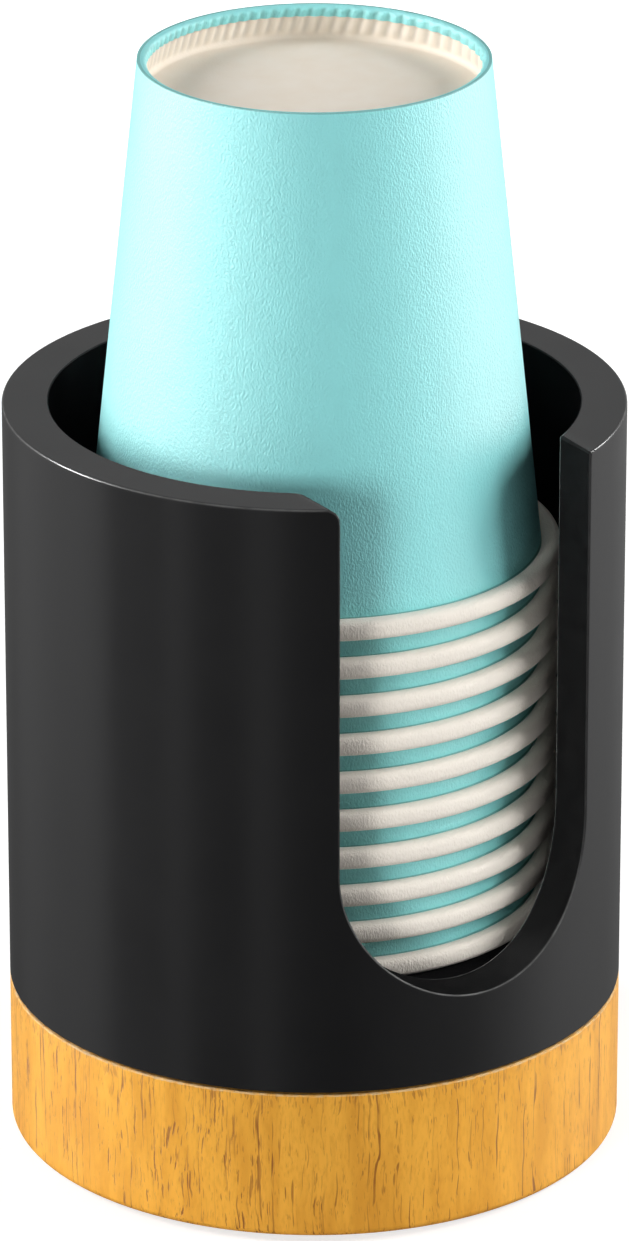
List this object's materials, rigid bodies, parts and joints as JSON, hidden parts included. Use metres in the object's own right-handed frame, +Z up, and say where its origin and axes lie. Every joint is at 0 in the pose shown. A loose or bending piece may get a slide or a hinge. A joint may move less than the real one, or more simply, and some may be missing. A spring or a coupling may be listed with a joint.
{
  "type": "cup dispenser",
  "caption": "Countertop dispenser for small paper cups: a round black holder with a finger slot, on a wooden base, with a nested stack of inverted cups to lift out.",
  "frame": {"origin": "under the holder's centre, on the surface that the feet stand on", "axes": "+Z up along the cup stack, the finger slot faces -Y"},
  "size_m": [0.085, 0.085, 0.1554],
  "materials": {
    "body_black": "satin black moulding with fine texture",
    "base_wood": "honey-coloured wood with short dark grain, satin varnish",
    "screw_steel": "zinc-plated steel",
    "foot_rubber": "matt soft rubber",
    "cup_paper": "aqua printed paper with a cream rolled lip",
    "cup_board": "cream uncoated board"
  },
  "bodies": {
    "holder": {"holder_body": "body_black", "wood_base": "base_wood", "base_screw_1": "screw_steel", "base_screw_2": "screw_steel", "base_screw_3": "screw_steel", "foot_1": "foot_rubber", "foot_2": "foot_rubber", "foot_3": "foot_rubber", "foot_4": "foot_rubber"},
    "cup_01": {"cup_01_sidewall": "cup_paper", "cup_01_bottom": "cup_board"},
    "cup_02": {"cup_02_sidewall": "cup_paper", "cup_02_bottom": "cup_board"},
    "cup_03": {"cup_03_sidewall": "cup_paper", "cup_03_bottom": "cup_board"},
    "cup_04": {"cup_04_sidewall": "cup_paper", "cup_04_bottom": "cup_board"},
    "cup_05": {"cup_05_sidewall": "cup_paper", "cup_05_bottom": "cup_board"},
    "cup_06": {"cup_06_sidewall": "cup_paper", "cup_06_bottom": "cup_board"},
    "cup_07": {"cup_07_sidewall": "cup_paper", "cup_07_bottom": "cup_board"},
    "cup_08": {"cup_08_sidewall": "cup_paper", "cup_08_bottom": "cup_board"},
    "cup_09": {"cup_09_sidewall": "cup_paper", "cup_09_bottom": "cup_board"},
    "cup_10": {"cup_10_sidewall": "cup_paper", "cup_10_bottom": "cup_board"}
  },
  "joints": [
    {"name": "cup_01_lift", "type": "slide", "parent": "holder", "child": "cup_01", "axis": [0, 0, 1], "range_m": [0, 0.078]},
    {"name": "cup_02_lift", "type": "slide", "parent": "cup_01", "child": "cup_02", "axis": [0, 0, 1], "range_m": [0, 0.07]},
    {"name": "cup_03_lift", "type": "slide", "parent": "cup_02", "child": "cup_03", "axis": [0, 0, 1], "range_m": [0, 0.07]},
    {"name": "cup_04_lift", "type": "slide", "parent": "cup_03", "child": "cup_04", "axis": [0, 0, 1], "range_m": [0, 0.07]},
    {"name": "cup_05_lift", "type": "slide", "parent": "cup_04", "child": "cup_05", "axis": [0, 0, 1], "range_m": [0, 0.07]},
    {"name": "cup_06_lift", "type": "slide", "parent": "cup_05", "child": "cup_06", "axis": [0, 0, 1], "range_m": [0, 0.07]},
    {"name": "cup_07_lift", "type": "slide", "parent": "cup_06", "child": "cup_07", "axis": [0, 0, 1], "range_m": [0, 0.07]},
    {"name": "cup_08_lift", "type": "slide", "parent": "cup_07", "child": "cup_08", "axis": [0, 0, 1], "range_m": [0, 0.07]},
    {"name": "cup_09_lift", "type": "slide", "parent": "cup_08", "child": "cup_09", "axis": [0, 0, 1], "range_m": [0, 0.07]},
    {"name": "cup_10_lift", "type": "slide", "parent": "cup_09", "child": "cup_10", "axis": [0, 0, 1], "range_m": [0, 0.07]}
  ]
}
